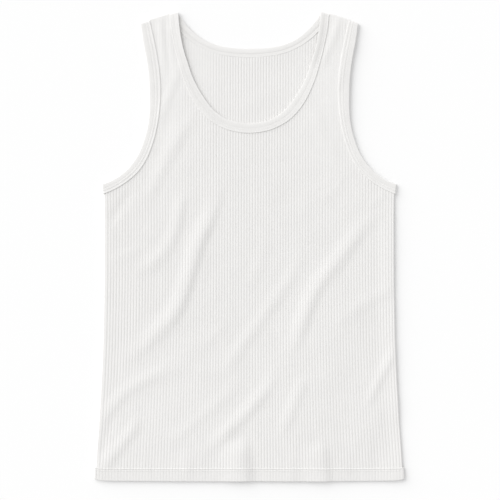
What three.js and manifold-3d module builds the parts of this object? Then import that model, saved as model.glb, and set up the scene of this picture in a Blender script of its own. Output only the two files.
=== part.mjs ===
// A ribbed knit tank top, laid flat on its back with the front panel uppermost.
// Units are millimetres. +X is the picture's right, +Y runs from hem to neck, +Z is up off the surface.
// The origin is under the middle of the garment, on the surface that it lies on.

import * as THREE from 'three';
import { mergeVertices } from 'three/addons/utils/BufferGeometryUtils.js';
import Module from 'manifold-3d';

const wasm = await Module();
wasm.setup();

// Cloth
const CLOTH = 1.4;              // the knit between its ribs
const RIB_HEIGHT = 0.6;         // how far a rib stands above the knit
const RIB_COUNT = 102;          // ribs across the front, from side seam to side seam
const SEAM_GAP = 0.3;           // clearance between two pieces where they are sewn together
const WAIST_HALF_WIDTH = 217.2; // half the width of the laid garment where it is narrowest
const RIB_PITCH = (2 * WAIST_HALF_WIDTH) / RIB_COUNT;

// Levels above the surface
const BACK_TOP = CLOTH + RIB_HEIGHT;
const FRONT_UNDERSIDE = BACK_TOP + SEAM_GAP;
const BAND_THICKNESS = 2.1;
const BAND_FOLD_LEVEL = BAND_THICKNESS + SEAM_GAP / 2;

// Spare cloth around the outlines, before they are cut out
const CUT_REACH = 380;          // from the middle of the garment, past hem and shoulders
const CUT_DEPTH = 20;           // above and below the surface
const BLOCK_BASE = -10;

// Side edges of the panels, from the underarm to the top of the hem
const SIDE = [
  { y: 80.0, halfWidth: 217.4 },
  { y: 40.0, halfWidth: 217.0 },
  { y: -50.0, halfWidth: 217.2 },
  { y: -140.0, halfWidth: 218.8 },
  { y: -200.0, halfWidth: 221.4 },
  { y: -260.0, halfWidth: 224.9 },
  { y: -300.0, halfWidth: 227.9 },
  { y: -330.8, halfWidth: 229.8 },
];

// Bindings and hem, right half. A row gives the free edge of the band and the seam where it meets the panel.
// The armhole binding runs from the shoulder fold to the underarm fold.
const ARMHOLE = [
  { edgeX: 162.6, edgeY: 332.6, seamX: 148.6, seamY: 336.9 },
  { edgeX: 159.3, edgeY: 309.0, seamX: 143.2, seamY: 313.0 },
  { edgeX: 154.2, edgeY: 282.0, seamX: 137.9, seamY: 286.0 },
  { edgeX: 150.7, edgeY: 255.0, seamX: 134.2, seamY: 258.0 },
  { edgeX: 149.6, edgeY: 229.0, seamX: 133.0, seamY: 230.0 },
  { edgeX: 149.7, edgeY: 205.0, seamX: 134.9, seamY: 203.0 },
  { edgeX: 152.2, edgeY: 183.0, seamX: 139.0, seamY: 177.0 },
  { edgeX: 157.8, edgeY: 161.0, seamX: 145.5, seamY: 153.0 },
  { edgeX: 165.4, edgeY: 141.5, seamX: 154.2, seamY: 132.0 },
  { edgeX: 175.7, edgeY: 125.0, seamX: 166.0, seamY: 114.0 },
  { edgeX: 189.0, edgeY: 111.0, seamX: 182.0, seamY: 99.4 },
  { edgeX: 204.5, edgeY: 100.4, seamX: 199.5, seamY: 88.2 },
  { edgeX: 218.9, edgeY: 94.6, seamX: 217.4, seamY: 80.0 },
];

// The neck binding on the front, from the shoulder fold to the middle.
const NECK_FRONT = [
  { edgeX: 106.6, edgeY: 350.1, seamX: 119.6, seamY: 346.2 },
  { edgeX: 104.3, edgeY: 327.0, seamX: 116.8, seamY: 323.5 },
  { edgeX: 100.0, edgeY: 302.0, seamX: 111.6, seamY: 298.5 },
  { edgeX: 93.3, edgeY: 279.0, seamX: 105.2, seamY: 273.3 },
  { edgeX: 84.4, edgeY: 253.5, seamX: 97.2, seamY: 247.5 },
  { edgeX: 70.0, edgeY: 227.0, seamX: 82.6, seamY: 216.8 },
  { edgeX: 53.5, edgeY: 205.6, seamX: 62.4, seamY: 192.8 },
  { edgeX: 35.0, edgeY: 192.5, seamX: 39.4, seamY: 178.8 },
  { edgeX: 17.5, edgeY: 187.2, seamX: 19.2, seamY: 172.8 },
  { edgeX: 0.0, edgeY: 185.5, seamX: 0.0, seamY: 171.0 },
];

// The neck binding on the back, from the same shoulder fold to the middle.
const NECK_BACK = [
  { edgeX: 106.6, edgeY: 350.1, seamX: 119.6, seamY: 346.2 },
  { edgeX: 100.2, edgeY: 341.0, seamX: 111.2, seamY: 331.5 },
  { edgeX: 91.0, edgeY: 330.0, seamX: 100.8, seamY: 320.0 },
  { edgeX: 80.4, edgeY: 320.0, seamX: 88.8, seamY: 309.6 },
  { edgeX: 66.0, edgeY: 310.0, seamX: 72.0, seamY: 299.0 },
  { edgeX: 46.0, edgeY: 302.4, seamX: 50.0, seamY: 290.2 },
  { edgeX: 23.0, edgeY: 298.8, seamX: 25.0, seamY: 285.8 },
  { edgeX: 0.0, edgeY: 297.8, seamX: 0.0, seamY: 284.2 },
];

// The turned-up hem, from the side fold to the middle.
const HEM = [
  { edgeX: 230.8, edgeY: -348.4, seamX: 229.8, seamY: -330.8 },
  { edgeX: 214.0, edgeY: -350.7, seamX: 214.0, seamY: -331.6 },
  { edgeX: 140.0, edgeY: -351.4, seamX: 140.0, seamY: -332.2 },
  { edgeX: 60.0, edgeY: -351.9, seamX: 60.0, seamY: -332.0 },
  { edgeX: 0.0, edgeY: -351.4, seamX: 0.0, seamY: -331.5 },
];

// Cross-section of a band. across runs from the free edge, 0, to the seam, 1. front and back are heights
// above the inner side of the fold, on the stretch over the front and on the one that rests on the surface.
const BAND_OUTSIDE = [
  { across: 0.0, front: 1.0, back: 1.0 },
  { across: 0.05, front: 1.75, back: 2.1 },
  { across: 0.3, front: 2.1, back: 2.1 },
  { across: 0.64, front: 2.0, back: 2.1 },
  { across: 0.71, front: 1.4, back: 2.1 },
  { across: 0.78, front: 1.95, back: 2.1 },
  { across: 0.93, front: 1.85, back: 2.1 },
  { across: 1.0, front: 1.1, back: 2.1 },
];
const BAND_INSIDE = [
  { across: 0.98, front: 0.0, back: 0.3 },
  { across: 0.04, front: 0.0, back: 0.1 },
];
// The back of the neck shows its inner side, with the stitched strip along its seam.
const NECK_INSIDE = [
  { across: 0.98, front: 0.0, back: 0.4 },
  { across: 0.93, front: 0.0, back: 0.0 },
  { across: 0.8, front: 0.0, back: 0.0 },
  { across: 0.75, front: 0.0, back: 0.6 },
  { across: 0.69, front: 0.0, back: 0.05 },
  { across: 0.04, front: 0.0, back: 0.1 },
];
// The hem's stitched strip lies along its seam, above a plain turned-up band.
const HEM_OUTSIDE = [
  { across: 0.0, front: 1.0, back: 1.0 },
  { across: 0.05, front: 1.8, back: 2.1 },
  { across: 0.3, front: 2.1, back: 2.1 },
  { across: 0.72, front: 2.0, back: 2.1 },
  { across: 0.77, front: 1.4, back: 2.1 },
  { across: 0.81, front: 2.1, back: 2.1 },
  { across: 0.95, front: 2.1, back: 2.1 },
  { across: 1.0, front: 1.3, back: 2.1 },
];

// Folds of the front, each a soft ridge along a curve through a few places, x and y, from its upper end.
// reach is how wide it is on each side, and steep is the share that its lower right side is narrower by.
const FOLDS = [
  {
    height: 1.7, reach: 18, steep: 0.15,
    path: [[-40, 102], [-56, 50], [-76, 4], [-90, -44], [-108, -95], [-146, -138], [-198, -182]],
  },
  {
    height: 1.2, reach: 15, steep: 0.1,
    path: [[-84, 92], [-103, 62], [-109, 30], [-124, -2], [-150, -28], [-180, -40]],
  },
  {
    height: 0.9, reach: 18, steep: 0.2,
    path: [[-92, 206], [-115, 152], [-136, 108], [-158, 60]],
  },
  {
    height: 1.6, reach: 18, steep: 0.15,
    path: [[216, 70], [169, 27], [139, -14], [105, -56], [87, -94], [73, -134], [46, -186]],
  },
  {
    height: 1.0, reach: 16, steep: 0.1,
    path: [[86, -6], [59, -50], [24, -100], [-20, -160], [-38, -186]],
  },
  {
    height: 1.3, reach: 17, steep: 0.2,
    path: [[46, -182], [18, -224], [-10, -254], [-40, -284], [-76, -314]],
  },
  {
    height: 1.1, reach: 16, steep: 0.2,
    path: [[-84, -176], [-130, -188], [-180, -214], [-206, -240], [-228, -270]],
  },
  {
    height: 1.2, reach: 16, steep: 0.2,
    path: [[-160, -256], [-190, -294], [-224, -338]],
  },
  {
    height: 1.0, reach: 13, steep: 0.2,
    path: [[224, -142], [206, -178], [192, -206], [174, -244]],
  },
  {
    height: 0.7, reach: 14, steep: 0.0,
    path: [[218, -58], [184, -78], [128, -110]],
  },
  {
    height: 0.8, reach: 15, steep: 0.1,
    path: [[84, -192], [70, -228], [46, -288]],
  },
  {
    height: 2.0, reach: 30, steep: 0.4,
    path: [[-8, -280], [-5, -330], [-2, -384]],
  },
];
const FOLD_STEPS = 16;
const FOLD_END_TAPER = 0.3;

// Grooves on the inner side of the back, where the neck opening shows it
const GROOVED_RIBS = 56;
const GROOVES_FROM_Y = 150;
const GROOVES_TO_Y = 360;
const GROOVE_SHAVE = 0.05;      // taken off the crests too, so that the cut has a clean edge

// How finely the pieces are divided
const ROW_SPACING = 36;
const ROW_SLOPE = 1.6;          // the rows of points lean as the main folds do
const ROW_PAIRS = Math.ceil((CUT_REACH + ROW_SLOPE * WAIST_HALF_WIDTH) / ROW_SPACING);
const INSIDE_RIB_STEP = 1.5;    // ribs between two lines of points on a plain inner side
const SIDE_STEPS = 12;
const ARMHOLE_STEPS = 22;
const NECK_FRONT_STEPS = 18;    // from one shoulder to the middle
const NECK_BACK_STEPS = 13;     // from one shoulder to the middle
const HEM_STEPS = 12;           // from one side to the middle
const FOLD_OVER_STEPS = 5;      // round the fold from the front stretch of a band to its back stretch

const COTTON_WHITE = 0xebe9e5;
const BINDING_WHITE = 0xefedea;

function knit(color) {
  return new THREE.MeshStandardMaterial({ color, roughness: 0.92, metalness: 0 });
}

// Solids and meshes

function solidFrom(geometry) {
  geometry.deleteAttribute('normal');
  geometry.deleteAttribute('uv');
  const merged = mergeVertices(geometry, 1e-4);
  return new wasm.Manifold(new wasm.Mesh({
    numProp: 3,
    vertProperties: new Float32Array(merged.getAttribute('position').array),
    triVerts: new Uint32Array(merged.getIndex().array),
  }));
}

function meshFromSolid(name, solid, material) {
  const { vertProperties, triVerts } = solid.getMesh();
  const geometry = new THREE.BufferGeometry();
  geometry.setAttribute('position', new THREE.BufferAttribute(new Float32Array(vertProperties), 3));
  geometry.setIndex(new THREE.BufferAttribute(new Uint32Array(triVerts), 1));
  geometry.computeVertexNormals();
  const mesh = new THREE.Mesh(geometry, material);
  mesh.name = name;
  return mesh;
}

// The plan shape

function mirrored(rows) {
  const left = rows.slice(0, -1).reverse();
  return [...rows, ...left.map((row) => ({ ...row, edgeX: -row.edgeX, seamX: -row.seamX }))];
}

function flipped(points) {
  return points.map((point) => new THREE.Vector2(-point.x, point.y));
}

// Pairs of points along a band, one on its free edge and one on its seam.
function bandStations(rows, steps) {
  const edge = new THREE.SplineCurve(rows.map((row) => new THREE.Vector2(row.edgeX, row.edgeY)));
  const seam = new THREE.SplineCurve(rows.map((row) => new THREE.Vector2(row.seamX, row.seamY)));
  return Array.from({ length: steps + 1 }, (_, k) => ({
    edge: edge.getPoint(k / steps),
    seam: seam.getPoint(k / steps),
  }));
}

const seamPoints = (stations) => stations.map((station) => station.seam);

const sideCurve = new THREE.SplineCurve(SIDE.map((row) => new THREE.Vector2(row.halfWidth, row.y)));
const armholeStations = bandStations(ARMHOLE, ARMHOLE_STEPS);
const neckFrontStations = bandStations(mirrored(NECK_FRONT), 2 * NECK_FRONT_STEPS);
const neckBackStations = bandStations(mirrored(NECK_BACK), 2 * NECK_BACK_STEPS);
const hemStations = bandStations(mirrored(HEM), 2 * HEM_STEPS);

// Outline of a panel, anticlockwise from the right end of the hem, with its own neck.
function panelOutline(neckStations) {
  const sideUp = sideCurve.getPoints(SIDE_STEPS).reverse();
  const armholeUp = seamPoints(armholeStations).reverse();
  const rightSide = [...sideUp.slice(0, -1), ...armholeUp];
  const leftSide = flipped(rightSide).reverse();
  const hemLeftToRight = seamPoints(hemStations).reverse().slice(1, -1);
  return [...rightSide, ...seamPoints(neckStations), ...leftSide, ...hemLeftToRight];
}

function outlinePrism(neckStations) {
  const shape = new THREE.Shape(panelOutline(neckStations));
  const prism = new THREE.ExtrudeGeometry(shape, { depth: 2 * CUT_DEPTH, bevelEnabled: false });
  return solidFrom(prism.translate(0, 0, -CUT_DEPTH));
}

// Cloth surfaces

function halfWidthAt(y) {
  const top = SIDE[0];
  const bottom = SIDE[SIDE.length - 1];
  if (y >= top.y) return top.halfWidth;
  if (y <= bottom.y) return bottom.halfWidth;
  const next = SIDE.findIndex((row) => row.y < y);
  const upper = SIDE[next - 1];
  const lower = SIDE[next];
  return THREE.MathUtils.mapLinear(y, lower.y, upper.y, lower.halfWidth, upper.halfWidth);
}

// Ribs run up the cloth and spread towards the hem, where the garment widens.
const ribSpread = (y) => halfWidthAt(y) / WAIST_HALF_WIDTH;

// 1 on a crest and 0 in a groove, at a distance across from any crest.
function ribProfile(across) {
  const phase = Math.abs(across / RIB_PITCH) % 1;
  return Math.abs(1 - 2 * phase);
}

const foldSpines = FOLDS.map((fold) => ({
  ...fold,
  spine: new THREE.SplineCurve(fold.path.map(([x, y]) => new THREE.Vector2(x, y))).getPoints(FOLD_STEPS),
}));

function ridgeHeight(fold, x, y) {
  let nearest = Infinity;
  let along = 0;
  let side = 0;
  for (let k = 0; k < FOLD_STEPS; k += 1) {
    const from = fold.spine[k];
    const run = fold.spine[k + 1].clone().sub(from);
    const toPoint = new THREE.Vector2(x, y).sub(from);
    const t = THREE.MathUtils.clamp(toPoint.dot(run) / run.lengthSq(), 0, 1);
    const away = toPoint.addScaledVector(run, -t);
    const distance = away.length();
    if (distance < nearest) {
      nearest = distance;
      along = (k + t) / FOLD_STEPS;
      side = run.cross(away);
    }
  }
  const reach = side > 0 ? fold.reach * (1 - fold.steep) : fold.reach;
  if (nearest >= reach) return 0;
  const taper = THREE.MathUtils.smoothstep(Math.min(along, 1 - along), 0, FOLD_END_TAPER);
  return fold.height * taper * (0.5 + 0.5 * Math.cos((Math.PI * nearest) / reach));
}

function foldHeight(x, y) {
  return foldSpines.reduce((sum, fold) => sum + ridgeHeight(fold, x, y), 0);
}

// A block whose top follows the cloth. Its lines of points run up, columnStep apart, and its rows lean.
function clothBlock(columns, columnStep, topAt) {
  const rows = 2 * ROW_PAIRS;
  const box = new THREE.BoxGeometry(columns * columnStep, rows * ROW_SPACING, 1, columns, rows, 1);
  const position = box.getAttribute('position');
  for (let k = 0; k < position.count; k += 1) {
    const across = position.getX(k);
    const y = position.getY(k) + ROW_SLOPE * across;
    const x = across * ribSpread(y);
    const z = position.getZ(k) > 0 ? topAt(across, x, y) : BLOCK_BASE;
    position.setXYZ(k, x, y, z);
  }
  return solidFrom(box);
}

// Panels

// The front's lines of points lie a quarter of a pitch off the crests of the middle ribs, so that the side
// edges fall between two lines.
function frontPanel() {
  const outside = clothBlock(2 * RIB_COUNT + 1, RIB_PITCH / 2, (across, x, y) => (
    FRONT_UNDERSIDE + CLOTH + foldHeight(x, y) + RIB_HEIGHT * ribProfile(across + RIB_PITCH / 4)
  ));
  const insideStep = INSIDE_RIB_STEP * RIB_PITCH;
  const insideColumns = Math.ceil(RIB_COUNT / INSIDE_RIB_STEP) + 2;
  const inside = clothBlock(insideColumns, insideStep, (across, x, y) => FRONT_UNDERSIDE + foldHeight(x, y));
  const panel = outside.intersect(outlinePrism(neckFrontStations)).subtract(inside);
  return meshFromSolid('front_panel', panel, knit(COTTON_WHITE));
}

function backRibGrooves() {
  const length = GROOVES_TO_Y - GROOVES_FROM_Y;
  const box = new THREE.BoxGeometry(GROOVED_RIBS * RIB_PITCH, length, 1, 2 * GROOVED_RIBS, 1, 1);
  box.translate(0, (GROOVES_TO_Y + GROOVES_FROM_Y) / 2, 0);
  const position = box.getAttribute('position');
  for (let k = 0; k < position.count; k += 1) {
    const groove = CLOTH + (RIB_HEIGHT - GROOVE_SHAVE) * ribProfile(position.getX(k));
    position.setZ(k, position.getZ(k) > 0 ? CUT_DEPTH : groove);
  }
  return solidFrom(box);
}

function backPanel() {
  const sheet = new THREE.BoxGeometry(2 * CUT_REACH, 2 * CUT_REACH, BACK_TOP);
  sheet.translate(0, 0, BACK_TOP / 2);
  const panel = solidFrom(sheet).intersect(outlinePrism(neckBackStations)).subtract(backRibGrooves());
  return meshFromSolid('back_panel', panel, knit(COTTON_WHITE));
}

// Bands: two bindings and the hem. Each is a ring that lies flat, one stretch on the front and one under it.

function bandSection(station, turn, outward, outside, inside) {
  const along = turn / Math.PI;
  return [...outside, ...inside].map((row) => {
    const across = Math.min(row.across, 1 - SEAM_GAP / station.edge.distanceTo(station.seam));
    const place = station.edge.clone().lerp(station.seam, across);
    const radius = SEAM_GAP / 2 + THREE.MathUtils.lerp(row.front, row.back, along);
    const lift = turn === 0 ? foldHeight(place.x, place.y) : 0;
    place.addScaledVector(outward, radius * Math.sin(turn));
    return new THREE.Vector3(place.x, place.y, BAND_FOLD_LEVEL + radius * Math.cos(turn) + lift);
  });
}

// The direction in plan that a band bulges in where it folds over, away from the rest of the stretch.
function foldDirection(station, neighbour) {
  const across = station.seam.clone().sub(station.edge);
  const normal = new THREE.Vector2(-across.y, across.x).normalize();
  return normal.dot(station.edge.clone().sub(neighbour.edge)) < 0 ? normal.negate() : normal;
}

function foldOver(station, neighbour, from, to, outside, inside) {
  const outward = foldDirection(station, neighbour);
  return Array.from({ length: FOLD_OVER_STEPS - 1 }, (_, k) => {
    const turn = THREE.MathUtils.lerp(from, to, (k + 1) / FOLD_OVER_STEPS);
    return bandSection(station, turn, outward, outside, inside);
  });
}

function bandRing(name, front, back, outside, inside) {
  const still = new THREE.Vector2(0, 0);
  const last = front.length - 1;
  const sections = [
    ...front.map((station) => bandSection(station, 0, still, outside, inside)),
    ...foldOver(front[last], front[last - 1], 0, Math.PI, outside, inside),
    ...back.map((station) => bandSection(station, Math.PI, still, outside, inside)),
    ...foldOver(front[0], front[1], Math.PI, 0, outside, inside),
  ];
  const points = sections.flat();
  const around = sections[0].length;
  const index = [];
  for (let ring = 0; ring < sections.length; ring += 1) {
    const nextRing = (ring + 1) % sections.length;
    for (let k = 0; k < around; k += 1) {
      const next = (k + 1) % around;
      const a = ring * around + k;
      const b = ring * around + next;
      const c = nextRing * around + next;
      const d = nextRing * around + k;
      index.push(a, b, c, a, c, d);
    }
  }
  const volume = signedVolume(points, index);
  const geometry = new THREE.BufferGeometry().setFromPoints(points);
  geometry.setIndex(volume < 0 ? [...index].reverse() : index);
  geometry.computeVertexNormals();
  const mesh = new THREE.Mesh(geometry, knit(BINDING_WHITE));
  mesh.name = name;
  return mesh;
}

function signedVolume(points, index) {
  let volume = 0;
  for (let k = 0; k < index.length; k += 3) {
    const [a, b, c] = [points[index[k]], points[index[k + 1]], points[index[k + 2]]];
    volume += a.dot(b.clone().cross(c)) / 6;
  }
  return volume;
}

function neckBinding() {
  const back = [...neckBackStations].reverse();
  return bandRing('neck_binding', neckFrontStations, back, BAND_OUTSIDE, NECK_INSIDE);
}

function armholeBinding(name, side) {
  const stations = armholeStations.map(({ edge, seam }) => ({
    edge: new THREE.Vector2(side * edge.x, edge.y),
    seam: new THREE.Vector2(side * seam.x, seam.y),
  }));
  return bandRing(name, stations, [...stations].reverse(), BAND_OUTSIDE, BAND_INSIDE);
}

function hemBand() {
  return bandRing('hem_band', hemStations, [...hemStations].reverse(), HEM_OUTSIDE, BAND_INSIDE);
}

const tankTop = new THREE.Group();
tankTop.add(
  frontPanel(),
  backPanel(),
  neckBinding(),
  armholeBinding('armhole_binding_right', 1),
  armholeBinding('armhole_binding_left', -1),
  hemBand(),
);

export default tankTop;
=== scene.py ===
"""A ribbed knit tank top, laid flat on its back: its cloth, bindings, hem, stitches and studio.

The garment's tables and sizes are in millimetres. Meshes, finishes, flat sizes of sheets and the studio are
in metres. +X is the picture's right, +Y runs from the hem to the neck and +Z is up off the surface that the
garment lies on.
"""

import logging
import math
from collections.abc import Iterable, Sequence
from dataclasses import dataclass, field
from enum import Enum

import bmesh
import bpy
import numpy as np
from mathutils import Matrix, Vector

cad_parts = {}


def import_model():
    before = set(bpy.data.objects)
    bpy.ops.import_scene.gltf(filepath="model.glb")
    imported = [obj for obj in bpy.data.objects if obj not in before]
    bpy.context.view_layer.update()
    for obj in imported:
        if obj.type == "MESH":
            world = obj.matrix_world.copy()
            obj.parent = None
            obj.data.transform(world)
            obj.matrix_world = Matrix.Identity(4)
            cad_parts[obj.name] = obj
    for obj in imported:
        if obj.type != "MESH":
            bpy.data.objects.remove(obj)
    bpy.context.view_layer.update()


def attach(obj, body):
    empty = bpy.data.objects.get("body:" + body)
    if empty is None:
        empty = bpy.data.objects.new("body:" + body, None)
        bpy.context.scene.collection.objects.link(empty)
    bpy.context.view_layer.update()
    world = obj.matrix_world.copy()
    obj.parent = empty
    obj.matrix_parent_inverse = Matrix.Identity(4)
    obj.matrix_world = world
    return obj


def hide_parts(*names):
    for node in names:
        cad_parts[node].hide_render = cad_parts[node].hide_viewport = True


log = logging.getLogger("tank_top")

MM = 0.001
BODY = "root"
KNIT_MAP = "knit"
# The point attribute that the finishes paint as shade: 1 open, darker towards 0 in grooves and sunk parts
RELIEF = "relief"

# A knit loop, in shares of its column: its arms' slant, the furrow between columns, and the yarn's swell
LOOP_SLANT = 1.3
FURROW_SLOPE = 5.0
FURROW_START = 1.7
FURROW_SOFTNESS = 0.2
YARN_SWELL = 0.55
YARN_GAP = 0.35
# How much darker the gaps between the yarns are painted: painted shade
GAP_SHADE = 0.12
# Cotton's mottle and its fuzz of short fibres, in waves a metre
BROAD_MOTTLE = 22.0
FINE_MOTTLE = 210.0
FIBRES = 2600.0

RIB_COUNT = 102
MID_HALF_WIDTH = 217.2
RIB_PITCH = 2 * MID_HALF_WIDTH / RIB_COUNT
RIB_OFFSET = 0.25
RIB_DRIFT = 1.5
# The way in plan towards the light: bands lie a little flatter where an edge of theirs faces it
LIGHT_SIDE = (-0.83, 0.56)

# A rib's height at parts of its pitch: a narrow groove at 0 and 1, and a broad crest between.
RIB_PARTS = (0.0, 0.12, 0.3, 0.5, 0.7, 0.88, 1.0)
RIB_HEIGHTS = (0.0, 0.62, 0.95, 1.0, 0.95, 0.62, 0.0)

# Side edge of the panels, from the underarm to the top of the hem: y, half width
SIDE = (
    (80.0, 217.4), (40.0, 217.0), (-50.0, 217.2), (-140.0, 218.8),
    (-200.0, 221.4), (-260.0, 224.9), (-300.0, 227.9), (-330.8, 229.8),
)

# Bands, right half: free edge x, y, and seam x, y. The armhole runs from its shoulder fold to its underarm
# fold.
ARMHOLE = (
    (162.6, 332.6, 148.6, 336.9), (159.3, 309.0, 143.2, 313.0), (154.2, 282.0, 137.9, 286.0),
    (150.7, 255.0, 134.2, 258.0), (149.6, 229.0, 133.0, 230.0), (149.7, 205.0, 134.9, 203.0),
    (152.2, 183.0, 139.0, 177.0), (157.8, 161.0, 145.5, 153.0), (165.4, 141.5, 154.2, 132.0),
    (175.7, 125.0, 166.0, 114.0), (189.0, 111.0, 182.0, 99.4), (204.5, 100.4, 199.5, 88.2),
    (218.9, 94.6, 217.4, 80.0),
)
NECK_FRONT = (
    (106.6, 350.1, 119.6, 346.2), (104.3, 327.0, 116.8, 323.5), (100.0, 302.0, 111.6, 298.5),
    (93.3, 279.0, 105.2, 273.3), (84.4, 253.5, 97.2, 247.5), (70.0, 227.0, 82.6, 216.8),
    (53.5, 205.6, 62.4, 192.8), (35.0, 192.5, 39.4, 178.8), (17.5, 187.2, 19.2, 172.8),
    (0.0, 185.5, 0.0, 171.0),
)
NECK_BACK = (
    (106.6, 350.1, 119.6, 346.2), (100.2, 341.0, 111.2, 331.5), (91.0, 330.0, 100.8, 320.0),
    (80.4, 320.0, 88.8, 309.6), (66.0, 310.0, 72.0, 299.0), (46.0, 302.4, 50.0, 290.2),
    (23.0, 298.8, 25.0, 285.8), (0.0, 297.8, 0.0, 284.2),
)
HEM = (
    (230.8, -348.4, 229.8, -330.8), (214.0, -350.7, 214.0, -331.6), (140.0, -351.4, 140.0, -332.2),
    (60.0, -351.9, 60.0, -332.0), (0.0, -351.4, 0.0, -331.5),
)

# Cross-sections of bands: across from the free edge, 0, to the seam, 1, and the heights above the inner
# side of the fold, on the front stretch and on the stretch that rests on the surface.
ARMHOLE_OUTSIDE = (
    (0.0, 1.72, 1.6), (0.002, 1.9, 1.85), (0.008, 1.98, 2.0), (0.04, 2.02, 2.06), (0.2, 2.05, 2.1),
    (0.4, 2.02, 2.1), (0.45, 1.98, 2.02), (0.475, 1.86, 1.9), (0.505, 1.98, 2.02), (0.57, 2.1, 2.1),
    (0.67, 2.1, 2.1), (0.72, 2.02, 2.0), (0.755, 1.88, 1.88), (0.79, 2.0, 2.0), (0.85, 2.14, 2.1),
    (0.94, 2.18, 2.1), (0.984, 2.18, 2.06), (0.988, 2.16, 2.02), (0.9985, 1.2, 1.7), (1.0, 1.1, 1.6),
)
NECK_OUTSIDE = (
    (0.0, 1.62, 1.4), (0.002, 1.8, 1.6), (0.008, 1.88, 1.7), (0.05, 1.92, 1.78), (0.25, 1.94, 1.8),
    (0.42, 1.92, 1.8), (0.48, 1.86, 1.74), (0.51, 1.76, 1.64), (0.54, 1.86, 1.74), (0.62, 1.96, 1.8),
    (0.72, 1.98, 1.8), (0.84, 2.0, 1.8), (0.93, 2.08, 1.76), (0.984, 2.1, 1.74), (0.988, 2.08, 1.7),
    (0.9985, 1.1, 1.5), (1.0, 1.0, 1.4),
)
HEM_OUTSIDE = (
    (0.0, 1.3, 1.0), (0.005, 1.85, 1.45), (0.015, 2.08, 1.85), (0.05, 2.18, 2.05), (0.25, 2.2, 2.1),
    (0.5, 2.16, 2.1), (0.7, 2.12, 2.1), (0.76, 2.06, 2.08), (0.785, 2.16, 2.06), (0.82, 2.16, 2.0),
    (0.845, 1.98, 1.95), (0.875, 1.86, 1.95), (0.905, 1.94, 2.0), (0.935, 2.12, 2.04), (0.97, 2.1, 2.0),
    (0.992, 1.85, 1.9), (1.0, 1.0, 1.6),
)
BAND_INSIDE = (
    (0.99, 1.46, 0.3), (0.915, 1.46, 0.05), (0.9, 0.0, 0.0), (0.5, 0.0, 0.0), (0.1, 0.0, 0.05),
    (0.03, 0.3, 0.3), (0.0, 0.7, 0.7),
)
HEM_INSIDE = (
    (0.985, 0.2, 0.3), (0.9, 0.0, 0.05), (0.5, 0.0, 0.0), (0.1, 0.0, 0.05), (0.03, 0.3, 0.3),
    (0.0, 0.7, 0.7),
)
# The back of the neck shows its inner side, with the stitched strip along its seam.
NECK_INSIDE = (
    (0.99, 1.46, 0.24), (0.985, 1.46, 0.1), (0.95, 1.46, 0.04), (0.915, 1.46, 0.08), (0.9, 0.0, 0.1),
    (0.8, 0.0, 0.12), (0.7, 0.0, 0.16), (0.64, 0.0, 0.24), (0.6, 0.0, 0.34), (0.56, 0.0, 0.2),
    (0.5, 0.0, 0.08), (0.4, 0.0, 0.04), (0.22, 0.0, 0.0), (0.06, 0.0, 0.0), (0.02, 0.12, 0.12),
    (0.006, 0.35, 0.35), (0.0, 0.8, 0.8),
)


@dataclass(frozen=True)
class Crease:
    """A soft ridge, or a trough if its height is negative, along a curve through a few places.

    reach is how wide it is on each side, and steep the share that its lower right side is narrower by.
    """

    path: tuple[tuple[float, float], ...]
    height: float
    reach: float
    steep: float = 0.0


# The main folds of the front, from the upper right of each to its lower left: those of its solid, with some
# of the heights and reaches brought closer to the photograph's shading
FOLDS = (
    Crease(((-40, 102), (-56, 50), (-76, 4), (-90, -44), (-108, -95), (-146, -138), (-202, -186)),
           1.9, 23, 0.38),
    Crease(((-84, 92), (-103, 62), (-109, 30), (-124, -2), (-150, -28), (-180, -40)), 1.05, 17, 0.2),
    Crease(((-92, 206), (-115, 152), (-136, 108), (-158, 60)), 0.9, 18, 0.2),
    Crease(((216, 70), (169, 27), (139, -14), (105, -56), (87, -94), (73, -134), (46, -186)), 1.55, 21, 0.3),
    Crease(((86, -6), (59, -50), (24, -100), (-20, -160), (-38, -186)), 0.8, 16, 0.1),
    Crease(((46, -182), (18, -224), (-10, -254), (-40, -284), (-76, -314)), 1.3, 17, 0.2),
    Crease(((-84, -176), (-130, -188), (-180, -214), (-206, -240), (-228, -270)), 1.1, 16, 0.2),
    Crease(((-160, -256), (-190, -294), (-224, -338)), 1.2, 16, 0.2),
    Crease(((224, -142), (206, -178), (192, -206), (174, -244)), 1.0, 13, 0.2),
    Crease(((218, -58), (184, -78), (128, -110)), 0.7, 14, 0.0),
    Crease(((84, -192), (70, -228), (46, -288)), 0.8, 15, 0.1),
    Crease(((-16, -286), (-10, -330), (-8, -384)), 2.6, 42, 0.5),
)
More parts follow.
